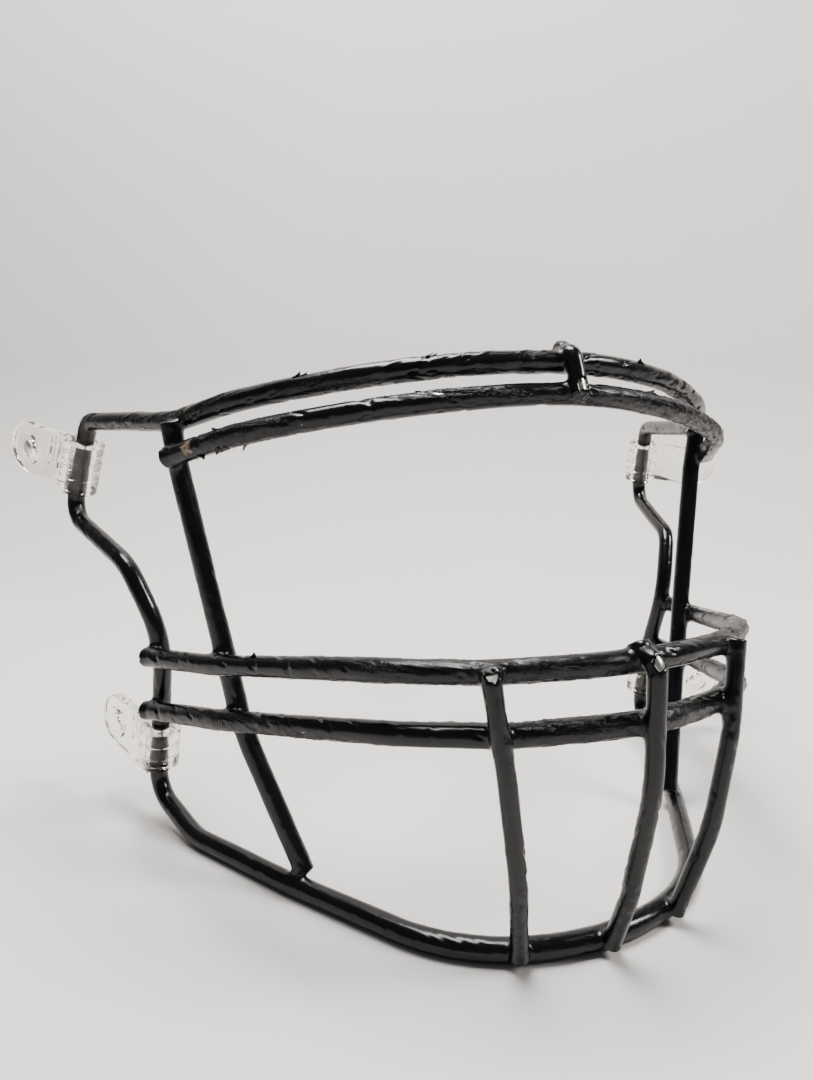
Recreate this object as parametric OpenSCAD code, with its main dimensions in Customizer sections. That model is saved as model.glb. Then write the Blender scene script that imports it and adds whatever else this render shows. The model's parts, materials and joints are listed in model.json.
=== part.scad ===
// Face guard of an american football helmet: ten welded steel wires under one black
// dip coating, with four clear loop straps that turn on the outer wire.
// Left and right are the wearer's. The front faces -Y and the guard stands on its jaw wire.

/* [Wire] */
// Steel diameter of the thick wires
thick_core_d = 5.0; // [4.8:0.1:5.2]
// Steel diameter of the chin bars and the brow tie
thin_core_d = 3.6; // [3.5:0.1:3.8]
// Thickness of the black coating
coat_t = 0.45; // [0.35:0.05:0.5]

/* [Loop straps] */
// Outer diameter of the loop round the wire
loop_d = 13; // [12:0.5:14]
// Length of an upper strap's loop
upper_loop_len = 18; // [15:0.5:18.5]
// Length of a lower strap's loop
lower_loop_len = 14; // [12:0.5:14.5]
// Radial running clearance between a loop and its wire
loop_gap = 0.06; // [0.04:0.01:0.1]
// Thickness of a strap's plate
plate_t = 3.4; // [2.8:0.2:4]
// Distance from the wire's axis to the screw hole
hole_reach = 25; // [23:0.5:27]
// Distance of the screw hole below the middle of the loop
hole_drop = 4.5; // [3:0.5:5]
// Radius of the plate's round outer end
lobe_r = 9.5; // [9:0.5:10.5]
// Diameter of the screw hole
hole_d = 6.6; // [6.4:0.1:7]
// Diameter of the raised ring round the screw hole
boss_d = 11.6; // [11:0.2:12.4]
// Height of the raised ring above the plate
boss_h = 1.1; // [0.8:0.1:1.4]

/* [Hidden] */
$fn = 48;

// The origin is under the middle of the whole guard, straps included.
origin_x = 4.6;
origin_y = 86.1;

// Bend points of each wire: x, y, z and bend radius. A wire that crosses the middle
// is listed from x = 0 to its left end and mirrored. The floor is z = 0.
perimeter_half = [
    [0, 33.5, 149, 110], [40.5, 44, 146.5, 110], [78, 69.5, 139.5, 100], [93.5, 94.5, 134, 25],
    [118.5, 145.5, 135.5, 6], [126, 159, 102.5, 8], [108.5, 117.5, 89.5, 14],
    [99, 107, 67, 40], [100, 116, 41.5, 40], [102.5, 123.5, 10, 10], [92, 98.5, 3, 30],
    [69, 63, 3, 60], [37.5, 19.5, 3, 60], [0, 10, 3, 90]];
brow_half = [[0, 31, 141, 110], [40.5, 39.5, 137.5, 110], [77.5, 60.5, 131, 90], [96, 85, 124, 25]];
upper_half = [
    [0, 0.5, 78.5, 70], [35.5, 12.5, 76.5, 40], [54.5, 25.5, 75.5, 30],
    [87.5, 79, 65, 60], [103.5, 107.5, 61, 0]];
lower_half = [
    [0, -2.5, 65, 70], [31, 10, 62, 40], [51, 21.5, 61, 30],
    [85, 76.5, 49, 60], [104, 113.5, 41.5, 0]];
eye_wire = [[95, 89, 133, 0], [93, 89, 119.5, 40], [79, 76.5, 44.5, 60], [65.5, 62.5, 7, 0]];
chin_bar = [[35.5, 8.5, 77.5, 0], [32.5, 6, 55, 60], [28.5, 6.5, 29.5, 60], [24, 12.5, 4, 0]];
chin_bar_centre = [[0, 4, 79.8, 0], [0, -3.2, 80.4, 4], [0, -4, 50, 60], [0, 3, 18.5, 60], [0, 8.5, 4, 0]];
brow_tie = [[0, 38.5, 150.6, 0], [0, 32.8, 150.6, 3], [0, 29, 140.4, 0]];

thick_r = thick_core_d / 2;
thin_r = thin_core_d / 2;
// The coating closes over each free end by this much, with this chamfer.
end_cover = 0.9;
end_chamfer = 0.8;
// A straight is a hair thicker than a bend and overlaps it, so that the two always join.
straight_step = 0.03;
straight_lap_max = 0.4;

// The straight stretch of the perimeter that each pair of straps turns on, from its lower
// bend point to its upper one, and how far up it the middle of the loop sits.
upper_stretch = [perimeter_half[5], perimeter_half[4]];
lower_stretch = [perimeter_half[9], perimeter_half[8]];
upper_loop_at = 19.5;
lower_loop_at = 18;
// Each plate's angle at rest, from straight outboard towards the back.
rest_upper_right = 50;
rest_upper_left = -20;
rest_lower_right = 62;
rest_lower_left = -15;
// Height of a plate below and above its loop's middle, beside the loop.
upper_root = [8.5, 8];
lower_root = [14, 6.5];
band_step = 0.5;
rib_w = 1.2;
rib_h = 0.8;
rib_len = 10;
rib_at = [9.5, 14];
// Room beside the plate for the bend below the loop.
bend_relief = 1.2;

coating_colour = [0.06, 0.06, 0.07];
steel_colour = [0.62, 0.62, 0.63];
strap_colour = [0.87, 0.86, 0.80];

function point(p) = [p[0] - origin_x, p[1] - origin_y, p[2]];
function unit(v) = v / norm(v);
function mirrored(p) = concat([-p[0]], [for (k = [1:3]) p[k]]);
// A half list that starts at x = 0, carried on to the other side.
function both_sides(P) = concat([for (i = [len(P) - 1:-1:1]) mirrored(P[i])], P);
// The perimeter's half list closed into a loop.
function closed_loop(P) = concat(P, [for (i = [len(P) - 2:-1:1]) mirrored(P[i])]);
function other_side(P) = [for (p = P) mirrored(p)];

// Bends of a wire through the points of P, counted round if it is closed.
function at(P, i) = point(P[(i + len(P)) % len(P)]);
function leg(P, i) = at(P, i + 1) - at(P, i);
function turn(P, i) = acos(unit(leg(P, i - 1)) * unit(leg(P, i)));
function is_end(P, i, closed) = !closed && (i == 0 || i == len(P) - 1);
// Length of straight that a bend takes from each of its two legs.
function taken(P, i, closed) = is_end(P, i % len(P), closed) ? 0 :
    min(P[i % len(P)][3] * tan(turn(P, i) / 2), 0.48 * norm(leg(P, i - 1)), 0.48 * norm(leg(P, i)));
function bend_radius(P, i, closed) = taken(P, i, closed) / tan(turn(P, i) / 2);
// How far a straight of radius r runs into the bend at point i. It is less in a tight bend,
// because the inside of the bend has to stay within the straight.
function lap(P, i, r, closed) =
    min(straight_lap_max, sqrt(straight_step * (bend_radius(P, i, closed) - r)));
function axes_at(o, x, y, z) = [
    [x[0], y[0], z[0], o[0]],
    [x[1], y[1], z[1], o[1]],
    [x[2], y[2], z[2], o[2]],
    [0, 0, 0, 1]];

// A round rod from p to q with an optional chamfer at each end.
module rod(p, q, r, chamfer_p, chamfer_q) {
    s = q - p;
    h = norm(s);
    foot = chamfer_p > 0 ? [[r - chamfer_p, 0], [r, chamfer_p]] : [[r, 0]];
    top = chamfer_q > 0 ? [[r, h - chamfer_q], [r - chamfer_q, h]] : [[r, h]];
    translate(p)
        rotate([0, acos(s[2] / h), atan2(s[1], s[0])])
            rotate_extrude()
                polygon(concat([[0, 0]], foot, top, [[0, h]]));
}

// The bend at point i.
module bend(P, i, r, closed) {
    a = unit(leg(P, i - 1));
    t = taken(P, i, closed);
    bend_r = bend_radius(P, i, closed);
    z = unit(cross(a, leg(P, i)));
    x = cross(a, z);
    multmatrix(axes_at(at(P, i) - a * t - x * bend_r, x, a, z))
        rotate_extrude(angle = turn(P, i))
            translate([bend_r, 0])
                circle(r = r);
}

// A whole bent wire W = [points, radius, closed]. extra adds to its radius, and cover
// lengthens its free ends and chamfers them.
module wire(W, extra = 0, cover = 0) {
    P = W[0];
    r = W[1] + extra;
    closed = W[2];
    legs = closed ? len(P) : len(P) - 1;
    for (i = [0:legs - 1]) {
        u = unit(leg(P, i));
        free_start = !closed && i == 0;
        free_end = !closed && i == legs - 1;
        from_start = free_start ? -cover : taken(P, i, closed) - lap(P, i, r, closed);
        from_end = free_end ? -cover : taken(P, i + 1, closed) - lap(P, i + 1, r, closed);
        rod(
            at(P, i) + u * from_start,
            at(P, i + 1) - u * from_end,
            r + straight_step,
            free_start && cover > 0 ? end_chamfer : 0,
            free_end && cover > 0 ? end_chamfer : 0);
    }
    for (i = [(closed ? 0 : 1):legs - 1])
        bend(P, i, r, closed);
}
// The wire between two of its bend points, which cuts a neighbour as the whole would.
function part_of(W, first, last) = [[for (k = [first:last]) W[0][k]], W[1], false];

PERIMETER = [closed_loop(perimeter_half), thick_r, true];
BROW = [both_sides(brow_half), thick_r, false];
UPPER = [both_sides(upper_half), thick_r, false];
LOWER = [both_sides(lower_half), thick_r, false];
EYE_LEFT = [eye_wire, thick_r, false];
EYE_RIGHT = [other_side(eye_wire), thick_r, false];
CHIN_LEFT = [chin_bar, thin_r, false];
CHIN_RIGHT = [other_side(chin_bar), thin_r, false];
CHIN_CENTRE = [chin_bar_centre, thin_r, false];
TIE = [brow_tie, thin_r, false];

// Parts of the long wires that meet others. Point k of perimeter_half is point 26 - k on
// the right side, and a bar's middle point is number 4, or 3 on the brow bar.
TOP_LEFT = part_of(PERIMETER, 1, 4);
TOP_RIGHT = part_of(PERIMETER, 22, 25);
TOP_MIDDLE = [both_sides([perimeter_half[0], perimeter_half[1]]), thick_r, false];
SIDE_LEFT = part_of(PERIMETER, 6, 9);
SIDE_RIGHT = part_of(PERIMETER, 17, 20);
JAW_LEFT = part_of(PERIMETER, 10, 12);
JAW_RIGHT = part_of(PERIMETER, 14, 16);
JAW_MIDDLE = part_of(PERIMETER, 11, 15);
function left_end(W) = part_of(W, len(W[0]) - 3, len(W[0]) - 1);
function right_end(W) = part_of(W, 0, 2);

// The steel of a wire, notched by the wires that it is welded onto.
module steel(W, onto = []) {
    color(steel_colour)
        difference() {
            wire(W);
            for (other = onto) wire(other);
        }
}

// The coating of a wire: open to its own steel and to the steel of every wire welded to
// it, and ending at the coating of the wires that it is welded onto.
module coating(W, onto = [], under = []) {
    color(coating_colour)
        difference() {
            wire(W, coat_t, end_cover);
            wire(W);
            for (other = under) wire(other);
            for (other = onto) wire(other, coat_t);
        }
}

module perimeter_core() { steel(PERIMETER); }
module perimeter_coat() {
    coating(PERIMETER, under = [
        EYE_LEFT, EYE_RIGHT, left_end(UPPER), right_end(UPPER), left_end(LOWER), right_end(LOWER),
        CHIN_LEFT, CHIN_RIGHT, CHIN_CENTRE, TIE]);
}
module eye_wire_core(W, top, jaw) { steel(W, [top, jaw]); }
module eye_wire_coat(W, top, jaw, bars) { coating(W, [top, jaw], bars); }
module brow_bar_core() { steel(BROW, [EYE_LEFT, EYE_RIGHT]); }
module brow_bar_coat() { coating(BROW, [EYE_LEFT, EYE_RIGHT], [TIE]); }
module face_bar_core(W) { steel(W, [SIDE_LEFT, SIDE_RIGHT, EYE_LEFT, EYE_RIGHT]); }
module face_bar_coat(W) {
    coating(W, [SIDE_LEFT, SIDE_RIGHT, EYE_LEFT, EYE_RIGHT], [CHIN_LEFT, CHIN_RIGHT, CHIN_CENTRE]);
}
// A chin bar meets both face bars between their points first and last.
module chin_bar_core(W, first, last) {
    steel(W, [JAW_MIDDLE, part_of(UPPER, first, last), part_of(LOWER, first, last)]);
}
module chin_bar_coat(W, first, last) {
    coating(W, [JAW_MIDDLE, part_of(UPPER, first, last), part_of(LOWER, first, last)]);
}
module brow_tie_core() { steel(TIE, [TOP_MIDDLE, part_of(BROW, 2, 4)]); }
module brow_tie_coat() { coating(TIE, [TOP_MIDDLE, part_of(BROW, 2, 4)]); }

// The loop of a strap, with two grooves between its three bands.
module strap_loop(loop_len) {
    third = loop_len / 3;
    rotate_extrude()
        difference() {
            translate([0, -loop_len / 2]) square([loop_d / 2, loop_len]);
            for (side = [-1, 1])
                translate([loop_d / 2 - band_step, side * third / 2 - band_step])
                    square([2 * band_step, 2 * band_step]);
        }
}

// The plate in its own plane: round outer end, tapering root.
module plate_outline(root) {
    translate([hole_reach, -hole_drop]) circle(r = lobe_r);
    polygon([
        [0, -root[0]], [root[0] / 2, -root[0]], [hole_reach, 0.3 - lobe_r - hole_drop],
        [hole_reach + 3, lobe_r - 0.8 - hole_drop], [root[1], root[1]], [0, root[1]]]);
}

// A strap with its loop's axis on Z and its plate along +X. The ring is on the +Y face,
// which is the outer one on the right side.
module strap_body(loop_len, root) {
    wire_bore_r = thick_r + coat_t + straight_step + loop_gap;
    difference() {
        union() {
            strap_loop(loop_len);
            rotate([90, 0, 0])
                linear_extrude(plate_t, center = true)
                    plate_outline(root);
            for (x = rib_at)
                translate([x, 0, 0])
                    cube([rib_w, plate_t + 2 * rib_h, rib_len], center = true);
            translate([hole_reach, 0, -hole_drop])
                rotate([-90, 0, 0])
                    cylinder(h = plate_t / 2 + boss_h, d = boss_d);
        }
        cylinder(h = 40, r = wire_bore_r, center = true);
        translate([0, 0, -loop_len / 2 - 20])
            cylinder(h = 20, r = wire_bore_r + bend_relief);
        translate([hole_reach, 0, -hole_drop])
            rotate([90, 0, 0])
                cylinder(h = 20, d = hole_d, center = true);
    }
}

function mirrored_to(p, side) = [side * p[0], p[1], p[2]];

// A strap on its stretch of the perimeter, side = 1 on the left and -1 on the right.
module strap(stretch, loop_at, loop_len, root, rest, side) {
    low = mirrored_to(stretch[0], side);
    up = unit(mirrored_to(stretch[1], side) - low);
    outboard = unit([side, 0, 0] - (up[0] * side) * up);
    back = side * cross(up, outboard);
    x = outboard * cos(rest) + back * sin(rest);
    centre = low + up * loop_at - [origin_x, origin_y, 0];
    color(strap_colour)
        multmatrix(axes_at(centre, x, cross(up, x), up))
            mirror([0, side > 0 ? 1 : 0, 0])
                strap_body(loop_len, root);
}

module upper_strap(rest, side) {
    strap(upper_stretch, upper_loop_at, upper_loop_len, upper_root, rest, side);
}
module lower_strap(rest, side) {
    strap(lower_stretch, lower_loop_at, lower_loop_len, lower_root, rest, side);
}

perimeter_core();
perimeter_coat();
brow_bar_core();
brow_bar_coat();
face_bar_core(UPPER);  // upper_bar_core
face_bar_coat(UPPER);  // upper_bar_coat
face_bar_core(LOWER);  // lower_bar_core
face_bar_coat(LOWER);  // lower_bar_coat
eye_wire_core(EYE_RIGHT, TOP_RIGHT, JAW_RIGHT);  // eye_wire_right_core
eye_wire_coat(EYE_RIGHT, TOP_RIGHT, JAW_RIGHT, [right_end(BROW), right_end(UPPER), right_end(LOWER)]);  // eye_wire_right_coat
eye_wire_core(EYE_LEFT, TOP_LEFT, JAW_LEFT);  // eye_wire_left_core
eye_wire_coat(EYE_LEFT, TOP_LEFT, JAW_LEFT, [left_end(BROW), left_end(UPPER), left_end(LOWER)]);  // eye_wire_left_coat
chin_bar_core(CHIN_RIGHT, 2, 4);  // chin_bar_right_core
chin_bar_coat(CHIN_RIGHT, 2, 4);  // chin_bar_right_coat
chin_bar_core(CHIN_CENTRE, 3, 5);  // chin_bar_centre_core
chin_bar_coat(CHIN_CENTRE, 3, 5);  // chin_bar_centre_coat
chin_bar_core(CHIN_LEFT, 4, 6);  // chin_bar_left_core
chin_bar_coat(CHIN_LEFT, 4, 6);  // chin_bar_left_coat
brow_tie_core();
brow_tie_coat();
upper_strap(rest_upper_right, -1);  // strap_upper_right
upper_strap(rest_upper_left, 1);  // strap_upper_left
lower_strap(rest_lower_right, -1);  // strap_lower_right
lower_strap(rest_lower_left, 1);  // strap_lower_left
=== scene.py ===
"""Looks of a football face guard: welded steel wires under one dipped coating, and four clear straps."""

import itertools
import json
import math

import bmesh
import bpy
import numpy as np
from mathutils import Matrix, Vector

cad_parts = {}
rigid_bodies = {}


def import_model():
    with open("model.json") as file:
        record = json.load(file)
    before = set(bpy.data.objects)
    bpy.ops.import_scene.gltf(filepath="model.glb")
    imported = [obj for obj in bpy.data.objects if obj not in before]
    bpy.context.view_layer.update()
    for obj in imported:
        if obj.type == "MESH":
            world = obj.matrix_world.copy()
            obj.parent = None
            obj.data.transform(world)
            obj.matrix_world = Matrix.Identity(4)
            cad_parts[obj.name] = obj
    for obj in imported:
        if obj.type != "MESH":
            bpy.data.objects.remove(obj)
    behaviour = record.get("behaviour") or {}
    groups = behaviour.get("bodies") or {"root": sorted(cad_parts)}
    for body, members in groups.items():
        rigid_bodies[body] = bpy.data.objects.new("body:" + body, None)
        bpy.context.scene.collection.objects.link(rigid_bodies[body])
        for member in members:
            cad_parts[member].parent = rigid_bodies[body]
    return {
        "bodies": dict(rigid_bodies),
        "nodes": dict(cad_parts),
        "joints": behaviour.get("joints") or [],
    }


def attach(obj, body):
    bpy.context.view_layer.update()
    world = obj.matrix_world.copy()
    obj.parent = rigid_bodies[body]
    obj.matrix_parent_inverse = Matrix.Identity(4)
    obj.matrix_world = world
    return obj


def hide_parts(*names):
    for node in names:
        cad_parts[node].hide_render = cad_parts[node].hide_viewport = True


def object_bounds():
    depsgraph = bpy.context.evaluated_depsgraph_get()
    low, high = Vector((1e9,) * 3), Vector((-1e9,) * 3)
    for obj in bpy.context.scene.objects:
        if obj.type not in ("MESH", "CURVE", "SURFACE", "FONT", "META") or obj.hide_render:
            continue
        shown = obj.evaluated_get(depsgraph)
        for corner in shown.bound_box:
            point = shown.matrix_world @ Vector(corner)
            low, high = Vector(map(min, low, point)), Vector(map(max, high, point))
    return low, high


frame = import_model()
cad_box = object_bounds()
scene = bpy.context.scene

# Lengths are worked out in millimetres and become metres when a mesh is made.
MM = 0.001
UP = np.array([0.0, 0.0, 1.0])

# Radii of the two steel wires, and the thickness of the coating on them.
THICK_R = 2.5
THIN_R = 1.8
COAT = 0.45
# How far the coating reaches past a wire's cut end, and the rounding of its rim there.
END_COVER = 0.9
END_ROUND = 1.0
# How softly the coating runs from one wire into the next at a weld.
WELD_BLEND = 0.85

# Face sizes of the coating's mesh and of the mesh that a wire's middle line is found from.
SKIN_VOXEL = 0.5
LINE_VOXEL = 0.8
# Steps along a middle line: as it is first found, and as it is sampled.
LINE_STEP = 1.5
SAMPLE = 0.5
# Split edges of a CAD mesh lie closer than this.
SPLIT_GAP = 0.001


# ---------- Small tools ----------

def unit(v):
    return v / np.maximum(np.linalg.norm(v, axis=-1, keepdims=True), 1e-9)


def smooth_step(low, high, x):
    """0 below low, 1 above high, and a smooth rise between them."""
    t = np.clip((x - low) / (high - low), 0, 1)
    return t * t * (3 - 2 * t)


def lattice(cell, seed):
    """A fixed pseudo-random value from 0 to 1 at each whole-number point."""
    factors = np.array([374761393, 668265263, 1274126177])
    h = (cell @ factors + seed * 974711) & 0xFFFFFFFF
    h = ((h ^ (h >> 13)) * factors[2]) & 0xFFFFFFFF
    return ((h ^ (h >> 16)) & 0xFFFF) / 0xFFFF


def noise(p, seed):
    """Smooth noise from -1 to 1 at the points p."""
    cell = np.floor(p).astype(np.int64)
    part = p - cell
    part = part * part * (3 - 2 * part)
    total = np.zeros(len(p))
    for corner in itertools.product((0, 1), repeat=3):
        share = np.prod(np.where(corner, part, 1 - part), axis=1)
        total += share * lattice(cell + np.array(corner), seed)
    return 2 * total - 1


def positions(mesh):
    """The places of the mesh's vertices, in millimetres."""
    co = np.empty(3 * len(mesh.vertices), np.float32)
    mesh.vertices.foreach_get("co", co)
    return co.reshape(-1, 3).astype(float) / MM


def normals(mesh):
    out = np.empty(3 * len(mesh.vertices), np.float32)
    mesh.vertex_normals.foreach_get("vector", out)
    return out.reshape(-1, 3).astype(float)


def set_positions(mesh, co):
    mesh.vertices.foreach_set("co", (co * MM).astype(np.float32).ravel())
    mesh.update()


def add_attribute(mesh, name, values):
    """Gives each vertex a number or a vector that a material can read."""
    kind, key = ("FLOAT_VECTOR", "vector") if values.ndim == 2 else ("FLOAT", "value")
    data = mesh.attributes.new(name, kind, "POINT").data
    data.foreach_set(key, values.astype(np.float32).ravel())


def new_object(name, mesh, material):
    """A smooth-shaded object of one material."""
    obj = bpy.data.objects.new(name, mesh)
    scene.collection.objects.link(obj)
    mesh.materials.clear()
    mesh.materials.append(material)
    mesh.polygons.foreach_set("use_smooth", [True] * len(mesh.polygons))
    return obj


def evaluated(obj):
    """The mesh of obj with its modifiers. The object itself is removed."""
    depsgraph = bpy.context.evaluated_depsgraph_get()
    mesh = bpy.data.meshes.new_from_object(obj.evaluated_get(depsgraph))
    bpy.data.objects.remove(obj)
    return mesh


def joined_copy(nodes):
    """An object with the meshes of the named CAD nodes, their split edges merged."""
    bm = bmesh.new()
    for name in nodes:
        bm.from_mesh(frame["nodes"][name].data)
    bmesh.ops.remove_doubles(bm, verts=bm.verts, dist=SPLIT_GAP * MM)
    mesh = bpy.data.meshes.new("copy")
    bm.to_mesh(mesh)
    bm.free()
    obj = bpy.data.objects.new("copy", mesh)
    scene.collection.objects.link(obj)
    return obj


def remeshed(nodes, voxel):
    """The named CAD nodes as one closed mesh of even faces."""
    obj = joined_copy(nodes)
    even = obj.modifiers.new("even", "REMESH")
    even.mode = "VOXEL"
    even.voxel_size = voxel * MM
    return evaluated(obj)


# ---------- Materials ----------

class Nodes:
    """Short calls for building one material's nodes."""

    def __init__(self, name):
        self.material = bpy.data.materials.new(name)
        self.material.use_nodes = True
        self.tree = self.material.node_tree
        self.shader = self.tree.nodes["Principled BSDF"]

    def add(self, kind, inputs=None, **settings):
        """A new node, with its inputs given by name or number and its settings by name."""
        node = self.tree.nodes.new(kind)
        for key, value in settings.items():
            setattr(node, key, value)
        for key, value in (inputs or {}).items():
            self.put(node, key, value)
        return node

    def put(self, node, key, value):
        """Links or sets one input of a node."""
        if isinstance(value, bpy.types.NodeSocket):
            self.tree.links.new(value, node.inputs[key])
        else:
            node.inputs[key].default_value = value

    def attribute(self, name, output):
        return self.add("ShaderNodeAttribute", attribute_name=name).outputs[output]

    def object_position(self):
        return self.add("ShaderNodeTexCoord").outputs["Object"]

    def noise(self, vector, scale, detail=4.0, roughness=0.55):
        values = {"Vector": vector, "Scale": scale, "Detail": detail, "Roughness": roughness}
        return self.add("ShaderNodeTexNoise", values).outputs["Fac"]

    def ramp(self, value, low, high, start=0.0, end=1.0):
        """Start below low, end above high, and a smooth change between them."""
        values = {"Value": value, "From Min": low, "From Max": high, "To Min": start, "To Max": end}
        return self.add("ShaderNodeMapRange", values, interpolation_type="SMOOTHSTEP").outputs["Result"]

    def maths(self, operation, a, b):
        return self.add("ShaderNodeMath", {0: a, 1: b}, operation=operation).outputs[0]

    def mix(self, share, a, b):
        """Colour a where share is 0 and colour b where it is 1."""
        node = self.add("ShaderNodeMix", {"Factor": share}, data_type="RGBA")
        self.put(node, 6, a)
        self.put(node, 7, b)
        return node.outputs[2]

    def bump(self, height, strength, distance):
        values = {"Height": height, "Strength": strength, "Distance": distance}
        return self.add("ShaderNodeBump", values).outputs["Normal"]

    def set(self, **inputs):
        """Sets inputs of the shader. An underscore stands for a space."""
        for key, value in inputs.items():
            self.put(self.shader, key.replace("_", " "), value)


def coating_material():
    """Black dipped vinyl: glossy where it is whole, dull and streaked where it is worn, with a pale dusting
    of specks there that are also painted glints of highlight.

    The mesh gives each point its place in the grain, its wear, and how far it is frayed.
    """
    fresh = (0.0035, 0.0038, 0.0048, 1)
    aged = (0.008, 0.0085, 0.010, 1)
    streaked = (0.045, 0.046, 0.050, 1)
    # Pale grey for the dusting of specks, which also stand for painted glints of highlight.
    dust_and_glint_grey = (0.30, 0.29, 0.27, 1)
    underside = (0.36, 0.29, 0.22, 1)
    n = Nodes("black_dip_coating")
    grain = n.attribute("grain", "Vector")
    wear = n.attribute("wear", "Fac")
    frayed = n.attribute("frayed", "Fac")
    fibres = n.noise(grain, 2.6, 6.0, 0.65)
    patches = n.noise(grain, 0.55, 5.0, 0.6)
    specks = n.noise(n.object_position(), 1600.0, 2.0)
    scuffed = n.maths("MULTIPLY", n.ramp(patches, 0.42, 0.66), wear)
    streaks = n.maths("MULTIPLY", n.ramp(fibres, 0.50, 0.68), scuffed)
    # Pale specks where the coating is worn: a dusting, and painted glints of highlight.
    dust_and_glint_specks = n.maths("MULTIPLY", n.ramp(specks, 0.70, 0.78), n.ramp(wear, 0.2, 1.0))
    shreds = n.maths("MULTIPLY", frayed, n.ramp(fibres, 0.35, 0.6))
    colour = n.mix(n.ramp(patches, 0.3, 0.7), fresh, aged)
    colour = n.mix(n.maths("MULTIPLY", streaks, 0.4), colour, streaked)
    # Mixes in the pale specks: a dusting, and painted glints of highlight.
    colour = n.mix(n.maths("MULTIPLY", dust_and_glint_specks, 0.35), colour, dust_and_glint_grey)
    colour = n.mix(shreds, colour, underside)
    dulled = n.maths("ADD", streaks, n.maths("MULTIPLY", scuffed, 0.5))
    rough = n.ramp(dulled, 0.0, 1.2, 0.20, 0.44)
    height = n.maths("ADD", fibres, n.maths("MULTIPLY", streaks, 0.8))
    bump = n.bump(height, n.ramp(wear, 0.0, 1.0, 0.12, 0.55), 0.16 * MM)
    n.set(Base_Color=colour, Roughness=rough, Normal=bump)
    n.set(IOR=1.52)
    return n.material


def steel_material():
    """Drawn steel wire, tarnished in places, that shows where the coating is gone."""
    bright = (0.62, 0.61, 0.58, 1)
    tarnished = (0.34, 0.31, 0.27, 1)
    n = Nodes("bare_steel")
    where = n.object_position()
    grain = n.noise(where, 900.0, 5.0)
    tarnish = n.noise(where, 180.0, 4.0)
    rough = n.ramp(grain, 0.3, 0.7, 0.22, 0.42)
    bump = n.bump(grain, 0.3, 0.05 * MM)
    n.set(Base_Color=n.mix(n.ramp(tarnish, 0.4, 0.7), bright, tarnished), Roughness=rough, Normal=bump)
    n.set(Metallic=1.0)
    return n.material


def strap_material():
    """Clear plastic with a cream cast, a little cloudy and scratched from handling."""
    clear = (0.99, 0.98, 0.945, 1)
    cloudy = (0.95, 0.93, 0.87, 1)
    n = Nodes("clear_strap_plastic")
    where = n.object_position()
    cloud = n.noise(where, 110.0, 4.0)
    scratches = n.noise(where, 700.0, 6.0, 0.7)
    rough = n.ramp(n.maths("ADD", cloud, scratches), 0.8, 1.3, 0.04, 0.16)
    bump = n.bump(cloud, 0.25, 0.3 * MM)
    n.set(Base_Color=n.mix(n.ramp(cloud, 0.35, 0.7), clear, cloudy), Roughness=rough, Normal=bump)
    n.set(IOR=1.34, Transmission_Weight=1.0)
    return n.material


def ground_material():
    """A plain pale ground."""
    n = Nodes("pale_ground")
    tone = n.noise(n.object_position(), 3.0, 3.0)
    n.set(Base_Color=n.mix(tone, (0.70, 0.68, 0.665, 1), (0.76, 0.745, 0.73, 1)), Roughness=0.85)
    return n.material


# ---------- The wires' middle lines, found from their steel ----------

# Steel within this distance of a line's last point belongs to the wire's end.
END_REACH = 6
# A length that stands for a place well short of a wire's ends.
FAR_INSIDE = -99.0
# A wire's points at a weld are at most this much further from the other wire than the nearest one is.
WELD_SPREAD = 1.5
# This many points are compared with a line at a time.
BLOCK = 20000


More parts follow.
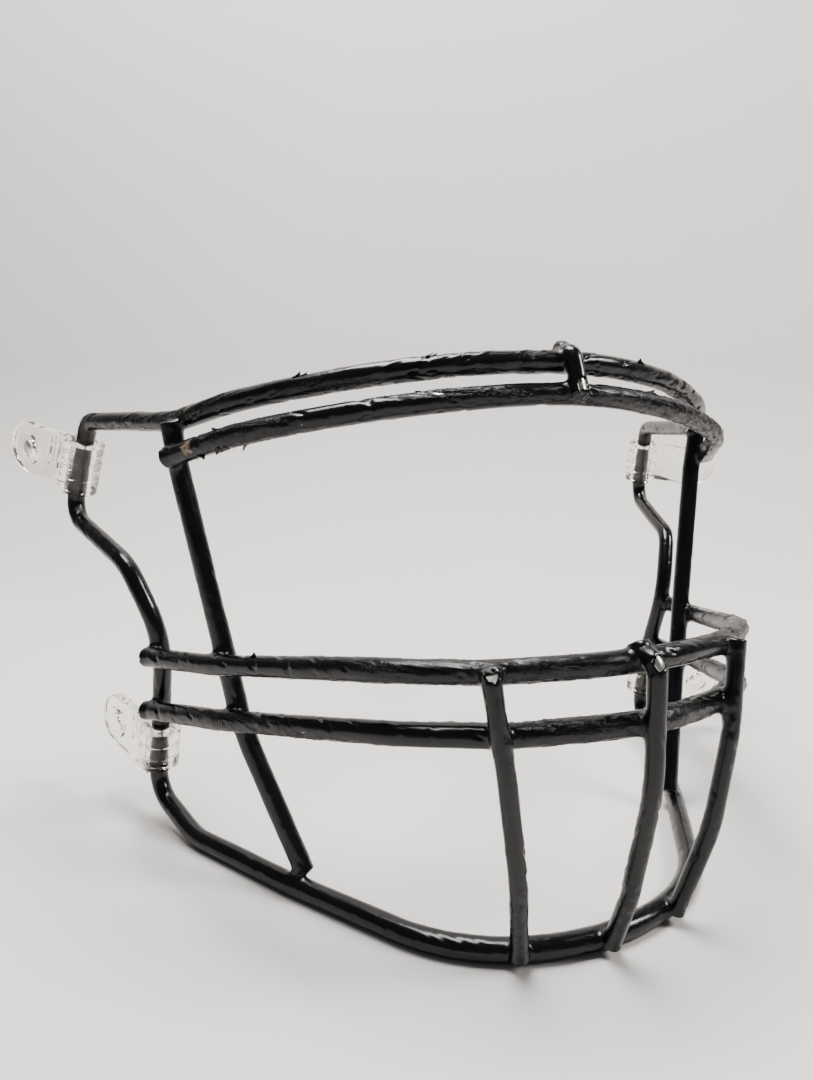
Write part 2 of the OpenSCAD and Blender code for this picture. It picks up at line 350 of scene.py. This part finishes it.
class Wire:
    """One wire's middle line, sampled evenly, with the directions and lengths along it."""

    def __init__(self, name, radius, order, closed=False):
        self.name = name
        self.closed = closed
        self.radius = radius + COAT
        mesh = remeshed([name + "_core"], LINE_VOXEL)
        surface = positions(mesh)
        middle = surface - normals(mesh) * radius
        middle = middle[np.argsort(order(middle))]
        # Each step along the wire holds about this many points of the steel's surface.
        group = round(2 * math.pi * radius * LINE_STEP / LINE_VOXEL**2)
        parts = np.array_split(middle, len(middle) // group)
        line = np.array([np.median(part, axis=0) for part in parts])
        line[1:-1] = (line[:-2] + 2 * line[1:-1] + line[2:]) / 4
        if closed:
            line = np.vstack([line, line[:1]])
        else:
            line = self.with_ends(line, surface)
        self.sample(line)
        bpy.data.meshes.remove(mesh)

    @staticmethod
    def with_ends(line, surface):
        """The line carried on to where the coating of each end stops."""
        for end, inner in ((0, 2), (-1, -3)):
            out = unit(line[end] - line[inner])
            near = surface[np.linalg.norm(surface - line[end], axis=1) < END_REACH]
            reach = max(((near - line[end]) @ out).max(), 0) + END_COVER
            tip = line[end] + out * reach
            line = np.vstack([tip, line]) if end == 0 else np.vstack([line, tip])
        return line

    def sample(self, line):
        """Keeps the line as evenly spaced points."""
        along = np.r_[0, np.cumsum(np.linalg.norm(np.diff(line, axis=0), axis=1))]
        length = along[-1]
        self.along = np.linspace(0, length, int(length / SAMPLE))
        self.points = np.stack([np.interp(self.along, along, line[:, k]) for k in range(3)], axis=1)
        self.directions = unit(np.gradient(self.points, axis=0))

    def nearest(self, p):
        """The number of the sample nearest to each point."""
        rows = []
        square = (self.points**2).sum(1)
        for block in np.array_split(p, max(len(p) // BLOCK, 1)):
            rows.append(np.argmin(square - 2 * block @ self.points.T, axis=1))
        return np.concatenate(rows)

    def distance(self, p, index):
        """(distance from the coating's surface, outward direction, length along the wire)."""
        centre, t = self.points[index], self.directions[index]
        ahead = ((p - centre) * t).sum(1)
        out = p - centre - ahead[:, None] * t
        around = np.linalg.norm(out, axis=1)
        out = out / np.maximum(around, 1e-6)[:, None]
        if self.closed:
            return around - self.radius, out, self.along[index] + ahead
        last = len(self.along) - 1
        past = np.where(index == last, ahead, np.where(index == 0, -ahead, FAR_INSIDE))
        tip = np.where((index == last)[:, None], t, -t)
        a = around - self.radius + END_ROUND
        b = past + END_ROUND
        on_rim = (a > 0) & (b > 0)
        gap = np.where(on_rim, np.hypot(a, b), np.maximum(a, b)) - END_ROUND
        rim_slope = unit(out * a[:, None] + tip * b[:, None])
        slope = np.where(on_rim[:, None], rim_slope, np.where((a > b)[:, None], out, tip))
        return gap, slope, self.along[index] + ahead

    def at(self, share):
        """The sample number at a share of the wire's length."""
        return int(share * (len(self.along) - 1))


# Each of these gives the points of a wire a number that grows along the wire.

def across(p):
    return p[:, 0]


def upward(p):
    return p[:, 2] + 0.3 * p[:, 1]


def over_the_top(p):
    return p[:, 2] + p[:, 1]


def round_the_face(p):
    middle = (p.max(0) + p.min(0)) / 2
    return np.arctan2(p[:, 2] - middle[2], p[:, 0] - middle[0])


def make_wires():
    """All ten wires. The perimeter comes first."""
    wires = [Wire("perimeter", THICK_R, round_the_face, closed=True)]
    wires += [Wire(name, THICK_R, across) for name in ("brow_bar", "upper_bar", "lower_bar")]
    wires += [Wire(name, THICK_R, upward) for name in ("eye_wire_right", "eye_wire_left")]
    chin_bars = ("chin_bar_right", "chin_bar_centre", "chin_bar_left")
    wires += [Wire(name, THIN_R, upward) for name in chin_bars]
    wires.append(Wire("brow_tie", THIN_R, over_the_top))
    return wires


def top_weld(a, b):
    """The point of wire a at its highest weld with wire b."""
    gaps = np.linalg.norm(a.points[:, None] - b.points[None], axis=2).min(1)
    close = a.points[gaps < gaps.min() + WELD_SPREAD]
    return close[close[:, 2].argmax()]


# ---------- The coating ----------

# How scuffed each wire is, from 0 to 1.
WEAR = {
    "perimeter": 0.3, "brow_bar": 1.0, "upper_bar": 0.85, "lower_bar": 0.8,
    "eye_wire_right": 0.35, "eye_wire_left": 0.35, "chin_bar_right": 0.6,
    "chin_bar_centre": 0.6, "chin_bar_left": 0.6, "brow_tie": 0.5}
# The perimeter's top run is within TOP_RUN of the highest point, and is almost as scuffed as the brow bar.
TOP_RUN = 28
TOP_WEAR = 0.95
# The direction that length along a wire takes in the grain, off every axis so that no seam shows.
GRAIN_ALONG = np.array([0.62, 0.55, 0.56])
# How far apart one wire's grain is from the next one's in the pattern, so that no two wires match.
WIRE_SHIFT = 57.0
# From a strap's middle, the coating is plain up to the first distance and uneven past the second.
STRAP_CLEAR = (11.0, 14.0)
# Heights and depths of the marks on the coating.
LUMP = 0.10
SMALL_LUMP = 0.05
RIDGE = 0.22
FIBRE = 0.20
GOUGE = 0.36
BLISTER = 0.14
SHRED = 0.45
CHIP = 1.1


class Field:
    """The coating as one smooth surface round all the wires, for points that stay near where they start."""

    def __init__(self, wires, points):
        self.wires = wires
        self.index = [w.nearest(points) for w in wires]

    def at(self, points):
        """(height above the surface, its slope, the nearest wire's number, share, length along)."""
        found = [w.distance(points, i) for w, i in zip(self.wires, self.index)]
        gaps, slopes, along = (np.stack(part) for part in zip(*found))
        lowest = gaps.min(0)
        shares = np.exp(-(gaps - lowest) / WELD_BLEND)
        total = shares.sum(0)
        height = lowest - WELD_BLEND * np.log(total)
        shares /= total
        slope = (shares[:, :, None] * slopes).sum(0)
        nearest = shares.argmax(0)
        rows = np.arange(len(points))
        return height, slope, nearest, shares[nearest, rows], along[nearest, rows]


def grain_of(wires, points, nearest, along):
    """Each point's offset from its wire's middle line, and its length along all the wires' grain."""
    off = np.zeros_like(points)
    for k, w in enumerate(wires):
        mine = nearest == k
        near = np.clip((along[mine] / SAMPLE).astype(int), 0, len(w.points) - 1)
        off[mine] = points[mine] - w.points[near]
    return off, along + WIRE_SHIFT * nearest


def stretched(off, along, width, length):
    """Places in a pattern of marks of this width and length that run along the wires."""
    return off / width + (along / length)[:, None] * GRAIN_ALONG


def strap_clearance(points):
    """0 where a strap turns on the wire and 1 well away from it."""
    clear = np.ones(len(points))
    for joint in frame["joints"]:
        centre = np.array(joint["pos_m"]) / MM
        clear *= smooth_step(*STRAP_CLEAR, np.linalg.norm(points - centre, axis=1))
    return clear


def chips(by_name, points):
    """How far the coating is gone, from 0 to 1, at the chips where the steel shows."""
    # Each has its wire, the share of the wire's length, the side it faces and its radius.
    spots = [
        ("brow_tie", 0.12, (0.1, -1.0, 0.2), 2.3),
        ("chin_bar_right", 0.985, (-0.2, -0.8, 0.7), 2.2),
        ("chin_bar_centre", 0.90, (-0.2, -0.9, 0.9), 1.9)]
    gone = np.zeros(len(points))
    for name, share, side, size in spots:
        w = by_name[name]
        spot = w.points[w.at(share)] + unit(np.array(side)) * w.radius
        away = np.linalg.norm(points - spot, axis=1) + 0.7 * noise(points / 0.9, 71)
        gone = np.maximum(gone, 1 - smooth_step(size - 0.5, size, away))
    return gone


def frays(by_name, points):
    """How far the coating is shredded to its pale underside, from 0 to 1, by the right eye wire's welds."""
    eye, top = by_name["eye_wire_right"], by_name["perimeter"]
    brow, upper = by_name["brow_bar"], by_name["upper_bar"]
    corner = top_weld(top, eye)
    brow_end = brow.points[brow.at(0.045)]
    bar = upper.points[np.argmin(np.linalg.norm(upper.points - top_weld(eye, upper), axis=1))]
    # Each has its middle and its radius.
    spots = [
        (corner + [-8.5, -1, 3.0], 3.6),
        (corner + [0.5, -2.5, 1.5], 2.6),
        (brow_end + [-1.0, -2.5, 0.5], 2.4),
        (bar + [-5.5, -2.5, 0.8], 3.0),
        (bar + [-10.0, -3.5, 0.3], 2.2)]
    share = np.zeros(len(points))
    for spot, size in spots:
        away = np.linalg.norm(points - spot, axis=1) + 0.8 * noise(points / 1.1, 83)
        share = np.maximum(share, 1 - smooth_step(size - 1.2, size, away))
    return share


def settled(points, field):
    """The points moved onto the coating's surface in a few short steps."""
    steps, longest, least_steep = 4, 0.6, 0.25
    for _ in range(steps):
        height, slope, _, _, _ = field.at(points)
        steep = np.maximum((slope**2).sum(1), least_steep)
        points = points - np.clip(height / steep, -longest, longest)[:, None] * slope
    return points


def wear_of(wires, points, nearest):
    """How scuffed the coating is at each point, from 0 to 1."""
    wear = np.array([WEAR[w.name] for w in wires])[nearest]
    is_perimeter = nearest == 0
    is_top = is_perimeter & (points[:, 2] > points[:, 2].max() - TOP_RUN)
    return np.where(is_top, TOP_WEAR, wear)


def unevenness(off, run, wear, scuffed):
    """The height that lumps, scuffs, gouges and blisters add to the coating."""
    lumps = LUMP * noise(stretched(off, run, 4.0, 16.0), 11)
    lumps += SMALL_LUMP * noise(stretched(off, run, 2.0, 6.0), 12)
    ridges = 1 - np.abs(noise(stretched(off, run, 1.1, 7.0), 31))
    fibres = 1 - np.abs(noise(stretched(off, run, 0.7, 3.5), 32))
    scuffs = scuffed * wear * (RIDGE * (ridges**5 - 0.3) + FIBRE * (fibres**4 - 0.3))
    pits = noise(stretched(off, run, 1.6, 2.8), 41)
    gouges = GOUGE * smooth_step(0.45, 0.70, pits) * wear
    blisters = BLISTER * smooth_step(0.50, 0.72, -pits) * wear
    return lumps + scuffs - gouges + blisters


def build_skin(wires, material):
    """The coating as one continuous dipped skin, with its lumps, scuffs, gouges, frays and chips."""
    nodes = [name for name in frame["nodes"] if name.endswith(("_core", "_coat"))]
    by_name = {w.name: w for w in wires}
    mesh = remeshed(nodes, SKIN_VOXEL)
    points = positions(mesh)
    field = Field(wires, points)
    points = settled(points, field)
    _, slope, nearest, share, along = field.at(points)
    off, run = grain_of(wires, points, nearest, along)
    wear = wear_of(wires, points, nearest)
    scuffed = smooth_step(-0.05, 0.45, noise(stretched(off, run, 5.0, 22.0), 21) + 0.5 * (wear - 0.6))
    # Welds and the stretches that the straps turn on stay smooth.
    marked = smooth_step(0.6, 0.95, share) * strap_clearance(points)
    frayed = frays(by_name, points)
    gone = chips(by_name, points)
    height = unevenness(off, run, wear, scuffed) * marked * (1 - gone)
    height += SHRED * frayed * noise(points / 0.9, 51) - CHIP * gone
    set_positions(mesh, points + unit(slope) * height[:, None])
    add_attribute(mesh, "grain", stretched(off, run, 1.0, 6.0))
    add_attribute(mesh, "wear", wear * np.clip(0.25 + scuffed, 0, 1))
    add_attribute(mesh, "frayed", frayed)
    obj = new_object("coating_skin", mesh, material)
    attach(obj, "guard")
    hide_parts(*[name for name in nodes if name.endswith("_coat")])


# ---------- Torn flaps of coating ----------

# The middle of a flap's root is this far under the coating's surface.
FLAP_SUNK = 0.1


def flap(bm, root, along, out, width, length, curl):
    """A small closed sliver that starts in the coating at root and curls away from it."""
    rows, thick, tip_half = 4, 0.4, 0.12
    section = [(-1, -1), (1, -1), (1, 1), (-1, 1)]
    side = np.cross(along, out)
    rings = []
    for i in range(rows + 1):
        t = i / rows
        angle = curl * t
        centre = root + length * t * (along * math.cos(angle) + out * math.sin(angle))
        half = 0.5 * width * (1 - t * t) + tip_half
        h = thick * (1 - 0.5 * t)
        lift = out * math.cos(angle) - along * math.sin(angle)
        corners = [centre + side * half * a + lift * h * b / 2 for a, b in section]
        rings.append([bm.verts.new(corner * MM) for corner in corners])
    for low, high in zip(rings, rings[1:]):
        for k in range(4):
            bm.faces.new((low[k], low[(k + 1) % 4], high[(k + 1) % 4], high[k]))
    bm.faces.new(rings[0][::-1])
    bm.faces.new(rings[-1])


def build_flaps(wires, material):
    """Slivers of torn coating on the bars' upper edges, and a few on their lower edges."""
    rng = np.random.default_rng(7)
    by_name = {w.name: w for w in wires}
    # Each group has its wire, the side it is on, and its places as shares of the wire's length.
    groups = [
        ("perimeter", UP, (0.615, 0.66, 0.672, 0.70, 0.725, 0.765, 0.80, 0.845)),
        ("brow_bar", UP, (0.09, 0.33, 0.62)),
        ("brow_bar", -UP, (0.055, 0.10, 0.125)),
        ("upper_bar", UP, (0.17, 0.5)),
        ("upper_bar", -UP, (0.135,)),
        ("lower_bar", -UP, (0.36,))]
    places = [(by_name[name], facing, share) for name, facing, shares in groups for share in shares]
    bm = bmesh.new()
    for wire, facing, share in places:
        i = wire.at(share)
        t = wire.directions[i] * rng.choice([-1, 1])
        out = unit(facing - (facing @ t) * t + np.cross(t, facing) * rng.uniform(-0.5, 0.5))
        root = wire.points[i] + out * (wire.radius - FLAP_SUNK)
        for _ in range(rng.integers(1, 4)):
            shift = t * rng.uniform(-1.5, 1.5) + np.cross(t, out) * rng.uniform(-0.6, 0.6)
            width = rng.uniform(0.9, 2.2)
            length = rng.uniform(1.0, 2.4)
            curl = rng.uniform(0.2, 0.75)
            flap(bm, root + shift, t, out, width, length, curl)
    mesh = bpy.data.meshes.new("coating_flaps")
    bm.to_mesh(mesh)
    bm.free()
    points = positions(mesh)
    add_attribute(mesh, "grain", points / 2)
    add_attribute(mesh, "wear", np.full(len(points), 0.8))
    add_attribute(mesh, "frayed", np.full(len(points), 0.08))
    obj = new_object("coating_flaps", mesh, material)
    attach(obj, "guard")


# ---------- The straps ----------

# The rounding of a strap's edges, and the least angle, in degrees, of an edge that is rounded.
EDGE_ROUND = 0.35
EDGE_ANGLE = 32


def build_strap(body, material):
    """A strap with the rounded edges of a moulding. Its node and its body have the same name."""
    obj = joined_copy([body])
    edges = obj.modifiers.new("edges", "BEVEL")
    edges.width = EDGE_ROUND * MM
    edges.segments = 3
    edges.angle_limit = math.radians(EDGE_ANGLE)
    made = new_object(body + "_moulding", evaluated(obj), material)
    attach(made, body)
    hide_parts(body)


# ---------- Stage, light and camera, in metres and degrees ----------

# The camera stands in front of the guard's right side. It is tilted up from straight down, and turned
# from straight ahead towards the guard's left.
CAMERA_PLACE = (-0.1121, -0.2105, 0.1267)
CAMERA_TILT = 82.54
CAMERA_TURN = -21.5
# The lens and the sensor's width are in millimetres.
CAMERA_LENS = 23.67
SENSOR_WIDTH = 36


def build_stage(material):
    """A pale floor that curves up into a backdrop behind the guard, square to the camera's view."""
    floor_z = cad_box[0].z
    radius, steps = 0.22, 16
    front, back, height, half_w = -1.2, 0.62, 1.5, 2.2
    profile = [(front, floor_z), (back - radius, floor_z)]
    for k in range(1, steps + 1):
        a = math.pi / 2 * k / steps
        profile.append((back - radius + radius * math.sin(a), floor_z + radius - radius * math.cos(a)))
    profile.append((back, height))
    bm = bmesh.new()
    rows = [[bm.verts.new((x, y, z)) for x in (-half_w, half_w)] for y, z in profile]
    for low, high in zip(rows, rows[1:]):
        bm.faces.new((low[0], low[1], high[1], high[0]))
    mesh = bpy.data.meshes.new("ground")
    bm.to_mesh(mesh)
    bm.free()
    ground = new_object("ground", mesh, material)
    ground.rotation_euler = (0, 0, math.radians(CAMERA_TURN))


def add_light(name, place, size, power, colour):
    """A round soft light that faces the middle of the guard."""
    data = bpy.data.lights.new(name, "AREA")
    data.shape = "DISK"
    data.size = size
    data.energy = power
    data.color = colour
    obj = bpy.data.objects.new(name, data)
    scene.collection.objects.link(obj)
    obj.location = place
    aim = (cad_box[0] + cad_box[1]) / 2 - Vector(place)
    obj.rotation_euler = aim.to_track_quat("-Z", "Y").to_euler()


def build_light():
    """A broad light overhead, a smaller one beyond the guard's front left, and a dim room."""
    add_light("ceiling", (-0.15, 0.15, 1.35), 0.75, 24, (1.0, 0.985, 0.965))
    add_light("window", (0.85, -0.55, 0.95), 0.45, 11, (1.0, 0.98, 0.95))
    world = bpy.data.worlds.new("room")
    world.use_nodes = True
    background = world.node_tree.nodes["Background"]
    background.inputs["Color"].default_value = (0.93, 0.93, 0.95, 1)
    background.inputs["Strength"].default_value = 0.16
    scene.world = world
    scene.view_settings.look = "AgX - Medium High Contrast"


def build_camera():
    data = bpy.data.cameras.new("camera")
    data.lens = CAMERA_LENS
    data.sensor_width = SENSOR_WIDTH
    obj = bpy.data.objects.new("camera", data)
    scene.collection.objects.link(obj)
    obj.location = CAMERA_PLACE
    obj.rotation_euler = (math.radians(CAMERA_TILT), 0, math.radians(CAMERA_TURN))
    scene.camera = obj


# ---------- The scene ----------

coating = coating_material()
steel = steel_material()
clear = strap_material()

for name, node in frame["nodes"].items():
    if name.endswith("_core"):
        node.data.materials.clear()
        node.data.materials.append(steel)

wires = make_wires()
build_skin(wires, coating)
build_flaps(wires, coating)
for body in frame["bodies"]:
    if body.startswith("strap"):
        build_strap(body, clear)

build_stage(ground_material())
build_light()
build_camera()
